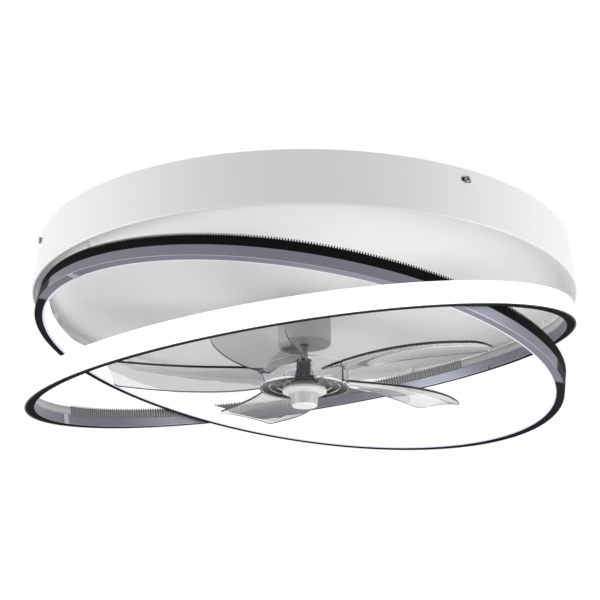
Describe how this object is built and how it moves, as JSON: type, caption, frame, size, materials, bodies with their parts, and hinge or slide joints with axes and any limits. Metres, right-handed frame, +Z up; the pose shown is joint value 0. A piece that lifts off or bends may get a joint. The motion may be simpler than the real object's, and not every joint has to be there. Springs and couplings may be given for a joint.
{
  "type": "ceiling fan",
  "caption": "Flush round ceiling fan with a shallow drum casing, two crossed tilted light rings and a small clear twisted-blade impeller.",
  "frame": {"origin": "centre of the ceiling plate's slotted fixing holes, on the plane of the ceiling", "axes": "+Z up into the ceiling and along the impeller's shaft, -Y towards the viewer, +X to the viewer's right"},
  "size_m": [0.523, 0.5222, 0.1623],
  "materials": {
    "casing_paint": "satin white powder coat",
    "canopy_paint": "satin grey powder coat",
    "zinc_steel": "zinc-plated sheet",
    "rubber": "black moulded rubber",
    "screw_steel": "bright nickel-plated steel",
    "shaft_steel": "ground steel",
    "motor_aluminium": "cast and turned aluminium",
    "core_steel": "stacked lamination steel",
    "magnet": "coated ferrite",
    "copper": "enamelled copper winding",
    "dark_plastic": "dark fine-grained plastic",
    "clear_plastic": "clear polished plastic, slightly smoky",
    "white_plastic": "white moulded plastic",
    "box_plastic": "pale moulded plastic",
    "ring_metal": "satin grey painted aluminium profile",
    "ring_strip": "black ribbed profile insert",
    "light_diffuser": "opal white light diffuser",
    "led_tape": "white light tape",
    "joiner_metal": "plain aluminium joint plate"
  },
  "bodies": {
    "fixture": {"box_screws": "screw_steel", "cable_grommet": "rubber", "canopy": "canopy_paint", "canopy_screws": "screw_steel", "casing": "casing_paint", "ceiling_plate": "zinc_steel", "crossing_rivets": "ring_metal", "driver_case": "box_plastic", "driver_lid": "box_plastic", "end_shield": "motor_aluminium", "lower_bearing": "shaft_steel", "motor_case": "motor_aluminium", "motor_screws": "screw_steel", "receiver_box": "dark_plastic", "ring_1_channel": "ring_metal", "ring_1_diffuser": "light_diffuser", "ring_1_joiner": "joiner_metal", "ring_1_led_tape": "led_tape", "ring_1_posts": "casing_paint", "ring_1_screws": "screw_steel", "ring_1_strip": "ring_strip", "ring_2_channel": "ring_metal", "ring_2_diffuser": "light_diffuser", "ring_2_joiner": "joiner_metal", "ring_2_led_tape": "led_tape", "ring_2_posts": "casing_paint", "ring_2_screws": "screw_steel", "ring_2_strip": "ring_strip", "shield_screws": "screw_steel", "side_nuts": "screw_steel", "side_screws": "screw_steel", "stator_coils": "copper", "stator_core": "core_steel", "terminal_block": "white_plastic", "upper_bearing": "shaft_steel"},
    "rotor": {"shaft": "shaft_steel", "rotor_core": "core_steel", "rotor_magnets": "magnet", "rotor_clip": "screw_steel", "drive_pin": "screw_steel", "hub_boss": "dark_plastic", "impeller": "clear_plastic", "lock_cap": "white_plastic"}
  },
  "joints": [
    {"name": "impeller_spin", "type": "hinge", "parent": "fixture", "child": "rotor", "pos_m": [0, 0, -0.11], "axis": [0, 0, 1], "continuous": true}
  ]
}
